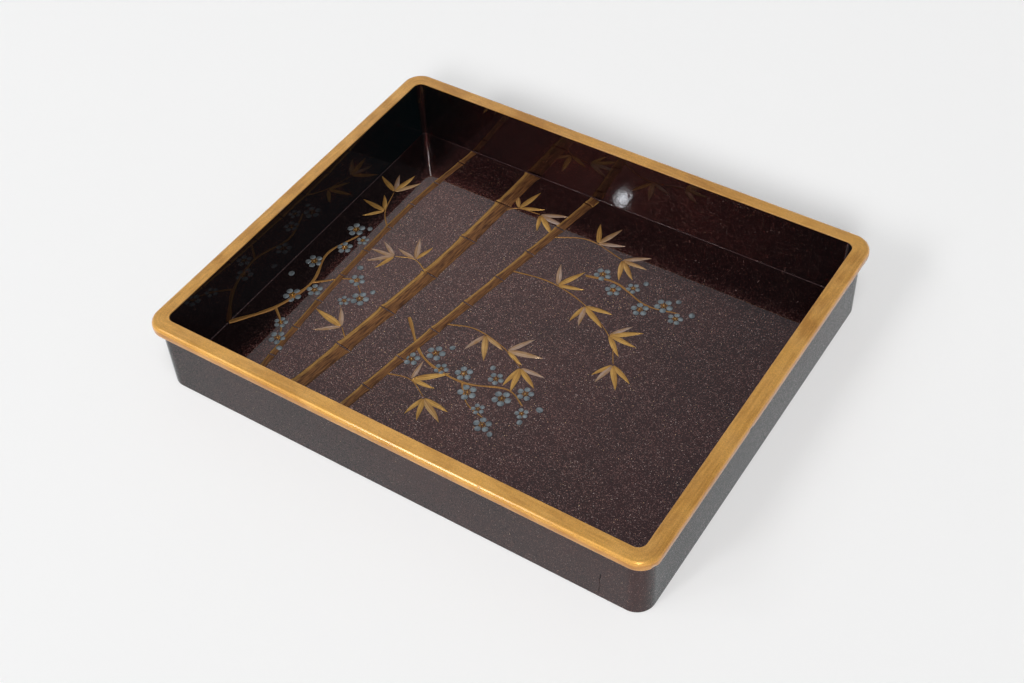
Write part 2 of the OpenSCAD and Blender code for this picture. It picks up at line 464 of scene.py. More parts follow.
# Knocks in the rim: x, y, z, half length along the rim and depth, in millimetres
RIM_DENTS = [
    (270.0, -41.7, 71.6, 4.2, 1.5),
    (266.7, -208.6, 71.6, 2.6, 2.2),
    (167.7, 221.0, 81.0, 3.0, 0.5),
    (-254.4, -29.5, 81.3, 2.2, 0.5),
    (106.0, -219.8, 80.4, 1.5, 0.25),
]
DENT_REACH = 1.6 * MM
# The nose is rubbed slightly flat between these heights, as angles from level
BURNISHED_LOW, BURNISHED_HIGH = 43.5, 63.5
CRACK_X = 220.0 * MM
CRACK_FOOT, CRACK_TOP = 8.0 * MM, 36.0 * MM
CRACK_DEPTH = 0.5 * MM
CRACK_REACH, CRACK_REACH_ABOVE = 0.30 * MM, 0.50 * MM
CRACK_OPENS = 0.62
# The rim's slight waves, its rubbed patches and its long brush strokes
WAVE_DEPTH, WAVE_LENGTH = 0.10 * MM, 45 * MM
RUBBED_PATCH = 14 * MM
BRUSH_STROKE = 18 * MM
# The gold dust on the floor thins out over this distance, and drifts in clouds of this size
DUST_REACH = 17 * MM
DUST_DRIFT = 38 * MM
GRID_SPACING = 4.0 * MM


def side_frame(points):
    """For each point: its side and its distance along that side, both as on a drawing of one side."""
    x, y = points[:, 0], points[:, 1]
    beyond_x, beyond_y = np.abs(x) - HALF[0], np.abs(y) - HALF[1]
    side = np.where(beyond_y >= beyond_x, np.where(y < 0, 0, 2), np.where(x > 0, 1, 3))
    along = np.choose(side, [x, y, -x, -y])
    return side, along


def outward(points):
    """Level direction away from the middle of the tray, at each point near a wall."""
    core = np.column_stack([np.clip(points[:, 0], -HALF[0] + RIM_CORNER_RADIUS, HALF[0] - RIM_CORNER_RADIUS),
                            np.clip(points[:, 1], -HALF[1] + RIM_CORNER_RADIUS, HALF[1] - RIM_CORNER_RADIUS)])
    away = points[:, :2] - core
    return away / np.maximum(np.linalg.norm(away, axis=1), 1e-9)[:, None]


def uneven(points, reach, size, seed):
    """Slight hand-made unevenness: a smooth value from about -reach to reach at each point."""
    return np.array([reach * noise.noise(Vector(p) / size + Vector((seed, seed, seed))) for p in points])


def brushed_values(points, rows):
    """Long strokes round the tray, from 0 to 1, on the points of a swept ring with that many rows."""
    turns = points.reshape(rows, -1, 3)
    values = []
    for row, ring in enumerate(turns):
        run = np.concatenate([[0], np.cumsum(np.linalg.norm(np.diff(ring, axis=0), axis=1))])
        girth = run[-1] + np.linalg.norm(ring[0] - ring[-1])
        reach = girth / (2 * pi * BRUSH_STROKE)
        for place in run / girth * 2 * pi:
            values.append(0.5 + 0.9 * noise.noise((reach * cos(place), reach * sin(place), row * 0.6)))
    return np.clip(values, 0, 1)


def rim_section():
    """The rim's profile: from the step up to the top, over the nose and back under the lip."""
    nose = (RIM_WIDTH - NOSE_RADIUS, RIM_TOP - NOSE_RADIUS, NOSE_RADIUS)
    above = arc(*nose, 90, BURNISHED_HIGH, 4)
    below = arc(*nose, BURNISHED_LOW, 0, 6)
    inner = [(TOP_STEP, WALL_TOP), (TOP_STEP, GOLD_EDGE), (0.0, GOLD_EDGE)]
    inner += arc(INNER_EDGE_RADIUS, RIM_TOP - INNER_EDGE_RADIUS, INNER_EDGE_RADIUS, 180, 90, 5)
    outer = [(share * (RIM_WIDTH - NOSE_RADIUS), RIM_TOP) for share in np.linspace(0.2, 0.95, 9)]
    outer += above
    outer += [tuple(np.array(above[-1]) + (np.array(below[0]) - above[-1]) * part) for part in (0.15, 0.85)]
    outer += below
    outer += arc(RIM_WIDTH - LIP_RADIUS, RIM_FOOT + LIP_RADIUS, LIP_RADIUS, 0, -90, 6)
    under = [(WALL_THICKNESS, RIM_FOOT), (WALL_THICKNESS, WALL_TOP)]
    return ([(out, z, wall_radius(out)) for out, z in inner]
            + [(out, z, rim_radius(out)) for out, z in outer]
            + [(out, z, wall_radius(out)) for out, z in under])


def dent_marks():
    """Where each side needs close rows of points, for the dents on its outer edge."""
    x, y = np.array([dent[:2] for dent in RIM_DENTS]).T * MM
    return [x[y < -HALF[1]], y[x > HALF[0]], -x[y > HALF[1]], -y[x < -HALF[0]]]


def rim_wear(points):
    """How far the gold is worn pale, with a highlight painted along the inner edge and the lip as well: most
    along the inner edge, less at the lip, least on the top.
    """
    wear = 0.35 + 0.5 * uneven(points, 1.0, RUBBED_PATCH, 8.7)
    lip = np.abs(points[:, 2] - RIM_FOOT) < 1.2 * MM
    beyond = np.maximum(np.abs(points[:, 0]) - HALF[0], np.abs(points[:, 1]) - HALF[1])
    edge = (points[:, 2] > GOLD_EDGE) & (points[:, 2] < RIM_TOP - 0.2 * MM) & (beyond < 2 * MM)
    # The inner edge and the lip get a painted highlight on top of their wear.
    return np.where(edge, wear + 0.3, np.where(lip, wear * 0.6, wear * 0.2))


def rim_polish(points, away):
    """Painted light and shade on the gold: lightest on the front side, where the light falls, a little
    lighter on the left side, and lighter on the top than low on the sides, which are painted in shade.
    """
    front_facing = np.clip(-away[:, 1], 0, 1)
    left_facing = np.clip(-away[:, 0], 0, 1)
    top = 0.42 + 0.42 * front_facing ** 2 + 0.10 * left_facing ** 2
    low = -0.20 + 0.28 * front_facing ** 2
    high = np.clip((points[:, 2] - RIM_TOP + 4.2 * MM) / (2.2 * MM), 0, 1)
    return low + (top - low) * high


def dented(points, away, wear):
    """The points with the dents pressed in, and the wear with the dents worn pale."""
    level = points.copy()
    for x, y, z, half, depth in RIM_DENTS:
        apart = points - np.array((x, y, z)) * MM
        beside = (away[:, 0] * apart[:, 1] - away[:, 1] * apart[:, 0]) / (half * MM)
        outside = (away * apart[:, :2]).sum(1)
        gap = np.hypot(outside, apart[:, 2]) / DENT_REACH
        push = np.clip(1 - beside ** 2, 0, 1) * np.exp(-gap ** 2) * depth * MM
        on_inner_edge = abs(x) < 255 and abs(y) < 206
        level[:, :2] += away * ((1 if on_inner_edge else -1) * push)[:, None]
        level[:, 2] += np.where(points[:, 2] < RIM_FOOT + 2.5 * MM, 0.8, -0.5) * push
        wear = np.maximum(wear, np.clip(push / (0.2 * MM), 0, 1))
    return level, wear


def gold_rim():
    """The rim in one piece, slightly uneven and with its dents."""
    section = rim_section()
    points, faces = swept_ring(section, dent_marks())
    away = outward(points)
    level, wear = dented(points, away, rim_wear(points))
    wave = np.minimum(uneven(points, WAVE_DEPTH, WAVE_LENGTH, 3.1), 0)
    top = points[:, 2] > RIM_TOP - 0.5 * MM
    side = (points[:, 2] > RIM_FOOT) & ~top
    level[:, 2] += np.where(top, wave, 0)
    level[:, :2] += away * np.where(side, wave, 0)[:, None]
    piece = closed_object("gold_rim", level, faces, 60)
    add_floats(piece, polish=rim_polish(points, away), wear=np.clip(wear, 0, 1),
               brushed=brushed_values(points, len(section)))
    return piece


def wall_section():
    """The walls' profile: from the floor's edge up the drafted inner face, over the step and down outside."""
    cove_top = FLOOR_TOP + COVE_RADIUS
    cove = arc(-WALL_DRAFT - COVE_RADIUS, cove_top, COVE_RADIUS, -90, 0, 5)[:-1]
    levels = [cove_top + (GOLD_EDGE - cove_top) * i / 8 for i in range(9)]
    levels.insert(1, cove_top + 0.3 * MM)
    slope = WALL_DRAFT / (GOLD_EDGE - FLOOR_TOP)
    inner_face = [(-slope * (GOLD_EDGE - z), z) for z in levels]
    step = [(TOP_STEP, GOLD_EDGE), (TOP_STEP, WALL_TOP), (WALL_THICKNESS, WALL_TOP)]
    heights = [FOOT_CHAMFER + (RIM_FOOT - FOOT_CHAMFER) * i / 30 for i in range(31)]
    outer_face = [(WALL_THICKNESS, z) for z in reversed(heights)]
    foot = [(WALL_THICKNESS - FOOT_CHAMFER, 0.0), (REBATE_OUT, 0.0)]
    profile = [(REBATE_OUT, FLOOR_TOP)] + cove + inner_face + step + outer_face + foot
    return [(out, z, wall_radius(out)) for out, z in profile]


def crack_values(points):
    """The crack near the right end of the front side, from 0 on sound lacquer to 1 in the crack."""
    side, along = side_frame(points)
    outer = np.abs(points[:, 1]) > HALF[1] + WALL_THICKNESS - 0.1 * MM
    height = (points[:, 2] - CRACK_FOOT) / (CRACK_TOP - CRACK_FOOT)
    line = CRACK_X + 1.1 * MM * height + 0.5 * MM * np.sin(points[:, 2] / (2.3 * MM))
    upper = height > CRACK_OPENS
    reach = np.where(upper, CRACK_REACH_ABOVE, CRACK_REACH)
    crack = np.where((side == 0) & outer & (height > 0) & (height < 1), 1 - np.abs(along - line) / reach, 0)
    return np.clip(crack * 2, 0, 1) * np.where(upper, 1.0, 0.7)


def lacquered_walls():
    """The four walls in one piece, with the crack cut in."""
    points, faces = swept_ring(wall_section(), [[CRACK_X], [], [], []])
    crack = crack_values(points)
    points[:, :2] -= outward(points) * (CRACK_DEPTH * crack)[:, None]
    piece = closed_object("lacquered_walls", points, faces, 35)
    add_floats(piece, crack=crack)
    return piece


def motif_dust(samples):
    """Gold dust at a place on the floor, from its distance to the picture work."""
    tree = KDTree(len(samples))
    for i, (x, y) in enumerate(samples):
        tree.insert((x, y, 0), i)
    tree.balance()

    def dust(x, y):
        gap = tree.find((x, y, 0))[2]
        drift = 0.5 + 0.9 * noise.noise(Vector((x, y, 0)) / DUST_DRIFT)
        return max(0.0, min(1.0, exp(-((gap / DUST_REACH) ** 2)) * drift))
    return dust


def grid_lines(half, radius):
    """Lines of the floor's grid across one direction, closer together within its corners."""
    steps = int(2 * half / GRID_SPACING)
    lines = np.concatenate([[-half], np.linspace(-half + radius, half - radius, steps), [half]])
    return np.insert(lines, [1, 1, -1, -1], [-half + radius / 3, -half + 2 * radius / 3,
                                             half - 2 * radius / 3, half - radius / 3])


def lacquered_floor(samples):
    """The floor slab, in a fine grid above so that the gold dust can gather on it."""
    out = REBATE_OUT - 0.1 * MM
    half_x, half_y = HALF[0] + out, HALF[1] + out
    radius = INNER_RADIUS + out

    def tucked(x, y):
        """Draws a grid point at a corner of the slab in to the corner's arc."""
        beyond_x, beyond_y = abs(x) - (half_x - radius), abs(y) - (half_y - radius)
        if beyond_x <= 0 or beyond_y <= 0:
            return x, y
        scale = max(beyond_x, beyond_y) / hypot(beyond_x, beyond_y)
        sign_x = 1 if x > 0 else -1
        sign_y = 1 if y > 0 else -1
        return sign_x * (half_x - radius + beyond_x * scale), sign_y * (half_y - radius + beyond_y * scale)

    columns, rows = grid_lines(half_x, radius), grid_lines(half_y, radius)
    count_x, count_y = len(columns), len(rows)
    points = [(*tucked(x, y), z) for z in (FLOOR_TOP, FLOOR_UNDERSIDE) for y in rows for x in columns]
    faces = []
    sheet = count_x * count_y
    for j in range(count_y - 1):
        for i in range(count_x - 1):
            a = j * count_x + i
            faces.append((a, a + 1, a + 1 + count_x, a + count_x))
            faces.append((sheet + a, sheet + a + count_x, sheet + a + 1 + count_x, sheet + a + 1))
    edge = (list(range(count_x - 1))
            + [j * count_x + count_x - 1 for j in range(count_y - 1)]
            + [(count_y - 1) * count_x + i for i in range(count_x - 1, 0, -1)]
            + [j * count_x for j in range(count_y - 1, 0, -1)])
    for a, b in zip(edge, edge[1:] + edge[:1]):
        faces.append((a, b, sheet + b, sheet + a))
    piece = closed_object("lacquered_floor", points, faces, 35)
    dust = motif_dust(samples)
    add_floats(piece, dust=[dust(x, y) if z > FLOOR_TOP - MM else 0.0 for x, y, z in points])
    return piece


# ------------------------------ picture work

# Paths on the floor, in millimetres from its middle, as a lacquerer lays them out
CULMS = {
    "thick_culm": dict(path=[(-146, -201), (-128, -70), (-114, 60), (-108, 201)],
                       half_width=8.6, height=1.1, internode=63, first=34),
    "middle_culm": dict(path=[(-92, -201), (-72, -64), (-49, 76), (-30, 201)],
                        half_width=5.2, height=0.9, internode=47, first=20),
    "slender_culm": dict(path=[(-182, -201), (-192, -60), (-194, 90), (-184, 201)],
                         half_width=3.4, height=0.7, internode=41, first=12),
}
# Leafy branches: path, then where the leaf fans sit as (share of the path, heading, leaves)
BRANCHES = [
    ([(-66, -30), (-36, -20), (0, -26), (30, -40)], [(0.45, -60, 3), (0.75, 20, 3), (1.0, -48, 4)]),
    ([(-50, 66), (-6, 72), (40, 62), (84, 36), (104, 8)],
     [(0.3, 62, 3), (0.52, -50, 4), (0.78, 12, 4), (1.0, -72, 4)]),
    ([(-118, 18), (-142, 30), (-163, 24)], [(0.55, 120, 3), (1.0, 205, 4)]),
    ([(-110, 130), (-94, 148), (-68, 152)], [(0.5, 76, 3), (1.0, -22, 4)]),
    ([(-79, -112), (-52, -106), (-28, -118)], [(0.5, 48, 3), (1.0, -52, 4)]),
    ([(-193, 52), (-212, 74), (-222, 104)], [(0.5, 180, 3), (1.0, 100, 4)]),
    ([(-134, -98), (-150, -84)], [(1.0, 172, 3)]),
    ([(-41, 128), (-4, 144), (40, 136)], [(0.6, 64, 3), (1.0, -22, 4)]),
]
# Plum twigs, thick end first, with the half width and height of their thick end
TWIGS = [
    ([(-251, -136), (-224, -96), (-214, -50), (-226, -8), (-214, 30)], 2.3, 0.9),
    ([(-214, -50), (-182, -26), (-158, -40)], 1.2, 0.6),
    ([(-100, -40), (-58, -76), (-8, -84), (34, -70), (58, -80)], 1.7, 0.6),
    ([(-8, -84), (12, -104), (40, -112)], 1.0, 0.5),
    ([(20, 98), (52, 104), (92, 92), (126, 98)], 1.4, 0.5),
    ([(-224, -96), (-204, -112), (-192, -132)], 1.2, 0.6),
]
# Blossoms and buds as (x, y, size), in millimetres. Blossoms open to BLOSSOM_SCALE times their size
BLOSSOMS = [
    (-220, -74, 17), (-205, -57, 15), (-231, -24, 16), (-216, 8, 15), (-222, 36, 17), (-206, 26, 12),
    (-176, -24, 15), (-158, -44, 17), (-170, -54, 12), (-196, -128, 16), (-206, -110, 13),
    (-66, -84, 15), (-50, -66, 17), (-34, -80, 13), (-12, -74, 16), (4, -92, 17), (18, -64, 14),
    (36, -82, 17), (52, -66, 15), (38, -118, 16), (24, -104, 12), (62, -88, 12),
    (34, 108, 16), (54, 94, 15), (70, 106, 13), (90, 84, 16), (108, 100, 17), (126, 90, 14),
]
BUDS = [
    (-240, -50, 7), (-210, 44, 6), (-184, -8, 7), (-152, -30, 6), (-186, -138, 7), (-40, -52, 6),
    (74, -76, 7), (66, -98, 6), (50, -124, 6), (8, -54, 6), (78, 118, 6), (138, 102, 7), (118, 112, 6),
]
ARC_SAMPLES = 18
STROKE_SINK = 0.3
JOINT_GAP = 1.8
BLOSSOM_SCALE = 1.15

# A bamboo leaf of unit length: places along it, places across it and the lift at each of those
LEAF_STATIONS = [0.0, 0.04, 0.12, 0.22, 0.34, 0.48, 0.62, 0.76, 0.88, 0.96, 1.0]
LEAF_LANES = [1.0, 0.6, 0.12, 0.0, -0.12, -0.6, -1.0]
LEAF_LIFT = [0.0, 0.72, 0.95, 0.55, 0.95, 0.72, 0.0]
LEAF_RISE, LEAF_SINK = 0.017, 0.006


def smooth_path(points, spacing=2.0):
    """A smooth curve through the points, as evenly spaced points in millimetres."""
    p = [np.array(q, dtype=float) for q in points]
    p = [2 * p[0] - p[1]] + p + [2 * p[-1] - p[-2]]
    dense = []
    for i in range(1, len(p) - 2):
        for t in np.linspace(0, 1, ARC_SAMPLES, endpoint=False):
            dense.append(0.5 * (2 * p[i] + (p[i + 1] - p[i - 1]) * t
                                + (2 * p[i - 1] - 5 * p[i] + 4 * p[i + 1] - p[i + 2]) * t ** 2
                                + (3 * p[i] - p[i - 1] - 3 * p[i + 1] + p[i + 2]) * t ** 3))
    dense.append(p[-2])
    dense = np.array(dense)
    length = np.concatenate([[0], np.cumsum(np.linalg.norm(np.diff(dense, axis=0), axis=1))])
    count = max(3, int(round(length[-1] / spacing)) + 1)
    even = np.linspace(0, length[-1], count)
    return np.column_stack([np.interp(even, length, dense[:, k]) for k in (0, 1)]), even


def raised_stroke(path, along, half_width, height, steps=8):
    """A closed, rounded bead on the floor. half_width and height are given per point, in millimetres."""
    tangent = np.gradient(path, axis=0)
    tangent /= np.linalg.norm(tangent, axis=1)[:, None]
    normal = np.column_stack([-tangent[:, 1], tangent[:, 0]])
    turns = np.linspace(0, pi, steps + 1)
    lanes = list(zip(np.cos(turns), np.sin(turns) ** 0.8)) + [(-1, None), (1, None)]
    points, along_value, across_value = [], [], []
    for q, n, a, w, h in zip(path, normal, along, half_width, height):
        for c, lift in lanes:
            x, y = q + n * c * w
            level = -STROKE_SINK if lift is None else lift * h
            points.append((x * MM, y * MM, FLOOR_TOP + level * MM))
            along_value.append(a * MM)
            across_value.append(c)
    faces = band_faces(len(path), len(lanes)) + cap_faces(len(path), len(lanes))
    return points, faces, along_value, across_value


def stroke_object(name, strokes, material):
    """One piece from several beads."""
    points, faces, along, across = [], [], [], []
    for stroke in strokes:
        first = len(points)
        points += stroke[0]
        faces += [tuple(first + i for i in f) for f in stroke[1]]
        along += stroke[2]
        across += stroke[3]
    piece = closed_object(name, points, faces, 50)
    add_floats(piece, along=along, across=across)
    piece.data.materials.append(material)
    return piece


def culm_strokes(path, half_width, height, internode, first):
    """A bamboo culm: internodes that flare towards each joint, with a narrow gap at the joint."""
    line, along = smooth_path(path, 1.5)
    near_joint = np.array([0, 0.5, 1.4, 2.6, 4.5, 7.5])
    bounds = [0.0] + list(np.arange(first, along[-1], internode)) + [along[-1]]
    strokes = []
    for low, high in zip(bounds[:-1], bounds[1:]):
        start = low + (JOINT_GAP / 2 if low > 0 else 0)
        end = high - (JOINT_GAP / 2 if high < along[-1] else 0)
        stations = np.concatenate([start + near_joint,
                                   np.linspace(start + 11, end - 11, max(2, int((end - start) / 9))),
                                   end - near_joint[::-1]])
        part = np.column_stack([np.interp(stations, along, line[:, k]) for k in (0, 1)])
        near = np.minimum(stations - start, end - stations)
        waist = np.sin(pi * np.clip((stations - start) / (end - start), 0, 1))
        flare = 1 + 0.16 * np.exp(-(near / 2.6) ** 2) - 0.05 * waist
        tuck = np.clip(near / 0.6, 0.45, 1)
        strokes.append(raised_stroke(part, stations, half_width * flare, height * flare * tuck, 12))
    return strokes


def thin_strokes(path, half_width, height, taper):
    """A branch or twig that gets thinner by the taper, with a slightly wavy width."""
    line, along = smooth_path(path, 2.5)
    share = along / along[-1]
    width = half_width * (1 - taper * share) * (1 + 0.18 * np.sin(along / 5.3))
    width[-1] *= 0.4
    return [raised_stroke(line, along, width, np.full(len(line), height) * (1 - 0.4 * share), 6)]


def leaf_outline(t, bend):
    """Half width and sideways bend of a bamboo leaf of unit length, at t from 0 to 1."""
    width = 0.098 * (sin(pi * min(1.0, t ** 0.72)) ** 0.8 if 0 < t < 1 else 0)
    return width, bend * sin(pi * t / 2) ** 2


def leaf_blank(name, bend):
    """One bamboo leaf of unit length along +X, with a groove along the middle."""
    lanes = list(zip(LEAF_LANES, LEAF_LIFT)) + [(-1.0, None), (1.0, None)]
    points, along, across = [], [], []
    for t in LEAF_STATIONS:
        width, shift = leaf_outline(t, bend)
        width = max(width, 0.004)
        for lane, lift in lanes:
            level = -LEAF_SINK if lift is None else LEAF_RISE * lift * min(1, width / 0.05)
            points.append((t, shift + lane * width, level))
            along.append(t)
            across.append(lane)
    rings, count = len(LEAF_STATIONS), len(lanes)
    piece = closed_object(name, points, band_faces(rings, count) + cap_faces(rings, count), 60)
    add_floats(piece, along=along, across=across)
    return piece


def petal_points(heading, length, width, lift):
    """Four rings of a notched, domed petal that points along heading, and their count of points."""
    outline = []
    steps = 10
    for i in range(steps + 1):
        angle = pi * (i / steps - 0.5) * 1.9
        reach = width * (1 - 0.10 * exp(-(angle / 0.22) ** 2))
        outline.append((length - width + reach * cos(angle), reach * sin(angle)))
    c, s = cos(heading), sin(heading)
    points = []
    for scale, level in ((1.0, -0.02), (1.0, 0.4 * lift), (0.72, lift), (0.3, 0.9 * lift)):
        for x, y in outline:
            px = (length - width) * (1 - scale) + x * scale
            points.append((c * px - s * y * scale, s * px + c * y * scale, level))
    return points, steps + 1


def blossom_blank(name):
    """A plum blossom of unit diameter: five domed petals round an open middle."""
    points, faces, along, across = [], [], [], []
    for petal in range(5):
        rings, count = petal_points(2 * pi * petal / 5, 0.5, 0.17, 0.038)
        faces += band_faces(4, count, len(points)) + cap_faces(4, count, len(points))
        points += rings
        along += [0.1 + 0.3 * r for r in range(4) for i in range(count)]
        across += [2 * i / (count - 1) - 1 for r in range(4) for i in range(count)]
    piece = closed_object(name, points, faces, 50)
    add_floats(piece, along=along, across=across)
    return piece


def stamen_blank(name):
    """The gold middle of a blossom of unit diameter: a boss with anthers and filaments round it."""
    points, faces = [], []

    def dome(x, y, radius, height, sides=8):
        first = len(points)
        for scale, level in ((1.0, 0.0), (1.0, 0.45 * height), (0.6, 0.9 * height)):
            for i in range(sides):
                angle = 2 * pi * i / sides
                points.append((x + radius * scale * cos(angle), y + radius * scale * sin(angle), level))
        points.append((x, y, height))
        faces.extend(band_faces(3, sides, first))
        top = first + 2 * sides
        faces.extend((top + i, top + (i + 1) % sides, top + sides) for i in range(sides))
        faces.append(tuple(range(first, first + sides)))

    dome(0, 0, 0.055, 0.075)
    for i in range(10):
        angle = 2 * pi * (i + 0.5) / 10
        dome(0.16 * cos(angle), 0.16 * sin(angle), 0.020, 0.060, 6)
        dome(0.10 * cos(angle), 0.10 * sin(angle), 0.012, 0.050, 5)
    piece = closed_object(name, points, faces, 50)
    add_floats(piece, along=[0.8] * len(points), across=[0.0] * len(points))
    return piece


def point_cloud(name, rows):
    """Points on the floor with a turn, a size, a kind and a tint, for scattering blanks on."""
    mesh = bpy.data.meshes.new(name)
    mesh.from_pydata([(row[0] * MM, row[1] * MM, FLOOR_TOP) for row in rows], [], [])
    piece = new_object(name, mesh)
    add_floats(piece, turn=[row[2] for row in rows], size=[row[3] * MM for row in rows],
               kind=[row[4] for row in rows], tint=[row[5] for row in rows])
    return piece


def scatter_tree(name, blanks, material):
    """Geometry Nodes: one of the blanks on each point, turned and sized by the point's values."""
    tree = bpy.data.node_groups.new(name, "GeometryNodeTree")
    tree.interface.new_socket("Geometry", in_out="INPUT", socket_type="NodeSocketGeometry")
    size_input = tree.interface.new_socket("Size", in_out="INPUT", socket_type="NodeSocketFloat")
    size_input.default_value = 1.0
    tree.interface.new_socket("Geometry", in_out="OUTPUT", socket_type="NodeSocketGeometry")
    start = add_node(tree, "NodeGroupInput")
    end = add_node(tree, "NodeGroupOutput")
    pool = add_node(tree, "GeometryNodeJoinGeometry")
    for blank in reversed(blanks):
        held = add_node(tree, "GeometryNodeObjectInfo", {"Object": blank, "As Instance": True})
        tree.links.new(held.outputs["Geometry"], pool.inputs[0])

    def value(field):
        node = add_node(tree, "GeometryNodeInputNamedAttribute", {"Name": field}, data_type="FLOAT")
        return node.outputs["Attribute"]

    turn = add_node(tree, "ShaderNodeCombineXYZ", {"Z": value("turn")})
    rotation = add_node(tree, "FunctionNodeEulerToRotation", {0: turn.outputs[0]})
    size = math_node(tree, "MULTIPLY", value("size"), start.outputs["Size"])
    kind = add_node(tree, "FunctionNodeFloatToInt", {0: value("kind")})
    placed = add_node(tree, "GeometryNodeInstanceOnPoints", {
        "Points": start.outputs["Geometry"], "Instance": pool.outputs[0], "Pick Instance": True,
        "Instance Index": kind.outputs[0], "Rotation": rotation.outputs[0], "Scale": size})
    real = add_node(tree, "GeometryNodeRealizeInstances", {"Geometry": placed.outputs[0]})
    painted = add_node(tree, "GeometryNodeSetMaterial", {"Geometry": real.outputs[0], "Material": material})
    tree.links.new(painted.outputs[0], end.inputs[0])
    return tree, size_input.identifier


def scattered(name, rows, blanks, material, size=1.0):
    """A plain mesh of blanks scattered over the rows' points."""
    piece = point_cloud(name, rows)
    tree, size_socket = scatter_tree("scatter_" + name, blanks, material)
    modifier = piece.modifiers.new("scatter", "NODES")
    modifier.node_group = tree
    modifier[size_socket] = size
    graph = bpy.context.evaluated_depsgraph_get()
    mesh = bpy.data.meshes.new_from_object(piece.evaluated_get(graph))
    piece.modifiers.remove(modifier)
    piece.data = mesh
    if not mesh.materials:
        mesh.materials.append(material)
    return piece


def leaf_rows():
    """Leaves in fans: each hangs to both sides of its fan's heading."""
    chance = Random(11)
    rows = []
    for path, fans in BRANCHES:
        line = smooth_path(path, 1.0)[0]
        for share, heading, leaves in fans:
            x, y = line[int(round(share * (len(line) - 1)))]
            spread = 27 + 4 * leaves
            for i in range(leaves):
                side = i / (leaves - 1) * 2 - 1
                turn = radians(heading + side * spread + chance.uniform(-7, 7))
                length = (33 - 7 * abs(side)) * chance.uniform(0.86, 1.12)
                kind = 1 if side > 0.2 else (2 if side < -0.2 else 0)
                place = (x + 1.5 * cos(turn), y + 1.5 * sin(turn))
                rows.append((*place, turn, length, kind, chance.random()))
    return rows


def round_rows(spots, seed):
    """Blossoms or buds, each turned at random."""
    chance = Random(seed)
    return [(x, y, chance.uniform(0, 2 * pi), size, 0, 0) for x, y, size in spots]


def bud_blank(name):
    """A plum bud of unit diameter."""
    points = []
    sides = 12
    for scale, level in ((1.0, -0.05), (1.0, 0.06), (0.78, 0.11), (0.35, 0.135)):
        for i in range(sides):
            angle = 2 * pi * i / sides
            points.append((0.5 * scale * cos(angle), 0.44 * scale * sin(angle), level))
    piece = closed_object(name, points, band_faces(4, sides) + cap_faces(4, sides), 50)
    add_floats(piece, along=[0.7] * len(points), across=[y * 2 for x, y, z in points])
    return piece


def picture_work():
    """The raised plant design: bamboo in bronze and gold, plum blossom in silver."""
    bronze = streaked_metal("bronze_powder", STROKE_HIGHLIGHT_GOLD, BRONZE, BRONZE_DARK, 0.42)
    twig_metal = streaked_metal("brown_gold_powder", LEAF_GOLD, STROKE_GOLD_DEEP, BRONZE, 0.38)
    leaf_metal = veined_metal("leaf_gold_powder", LEAF_GOLD, LEAF_GOLD_DEEP, 0.33, 9.0, LEAF_ROSE)
    petal_metal = veined_metal("silver_powder", SILVER, SILVER_DARK, 0.40, 5.0)
    branches = [stroke for path, fans in BRANCHES for stroke in thin_strokes(path, 0.75, 0.45, 0.4)]
    twigs = [stroke for path, half_width, height in TWIGS
             for stroke in thin_strokes(path, half_width, height, 0.6)]
    pieces = [stroke_object(name, culm_strokes(**culm), bronze) for name, culm in CULMS.items()]
    pieces.append(stroke_object("bamboo_branches", branches, twig_metal))
    pieces.append(stroke_object("plum_twigs", twigs, twig_metal))
    bends = {"leaf_straight": 0.0, "leaf_left": 0.10, "leaf_right": -0.10}
    leaves = [leaf_blank(name, bend) for name, bend in bends.items()]
    pieces.append(scattered("bamboo_leaves", leaf_rows(), leaves, leaf_metal))
    blossom, stamens, bud = blossom_blank("blossom"), stamen_blank("stamens"), bud_blank("bud")
    blossoms = round_rows(BLOSSOMS, 5)
    pieces.append(scattered("plum_blossoms", blossoms, [blossom], petal_metal, BLOSSOM_SCALE))
    pieces.append(scattered("blossom_stamens", blossoms, [stamens], leaf_metal, BLOSSOM_SCALE))
    pieces.append(scattered("plum_buds", round_rows(BUDS, 6), [bud], petal_metal))
    for blank in leaves + [blossom, stamens, bud]:
        bpy.data.objects.remove(blank)
    return pieces


def picture_samples(pieces):
    """Places on the floor that the picture work covers, in metres."""
    samples = []
    for piece in pieces:
        step = max(1, len(piece.data.vertices) // 1500)
        samples += [(v.co.x, v.co.y) for v in list(piece.data.vertices)[::step]]
    return samples


# ------------------------------ studio

VIEW_AZIMUTH, VIEW_ELEVATION, VIEW_ROLL = radians(35.4), radians(47.0), radians(-3.62)
VIEW_DISTANCE = 1.3775
VIEW_TARGET = Vector((41.0, -66.5, 81.8)) * MM
SENSOR_WIDTH = 36.0
LENS = 53.41

FLOOR_REACH = 20.0
FLOOR_PALE = (0.90, 0.90, 0.90, 1)
FLOOR_PALER = (0.91, 0.91, 0.91, 1)

# The room that the tray mirrors: cool and dim, white round one direction and pale near the ground
BRIGHT_SIDE = (-0.49, 0.56, 0.67)
BRIGHT_SPREAD = radians(17)
LOW_FROM, LOW_TO = radians(6), radians(15)
ROOM_DIM = (0.345, 0.38, 0.42, 1)
ROOM_BRIGHT = (1.0, 1.0, 1.0, 1)
ROOM_LOW = (0.88, 0.88, 0.88, 1)
SKY_LIGHT = 0.15


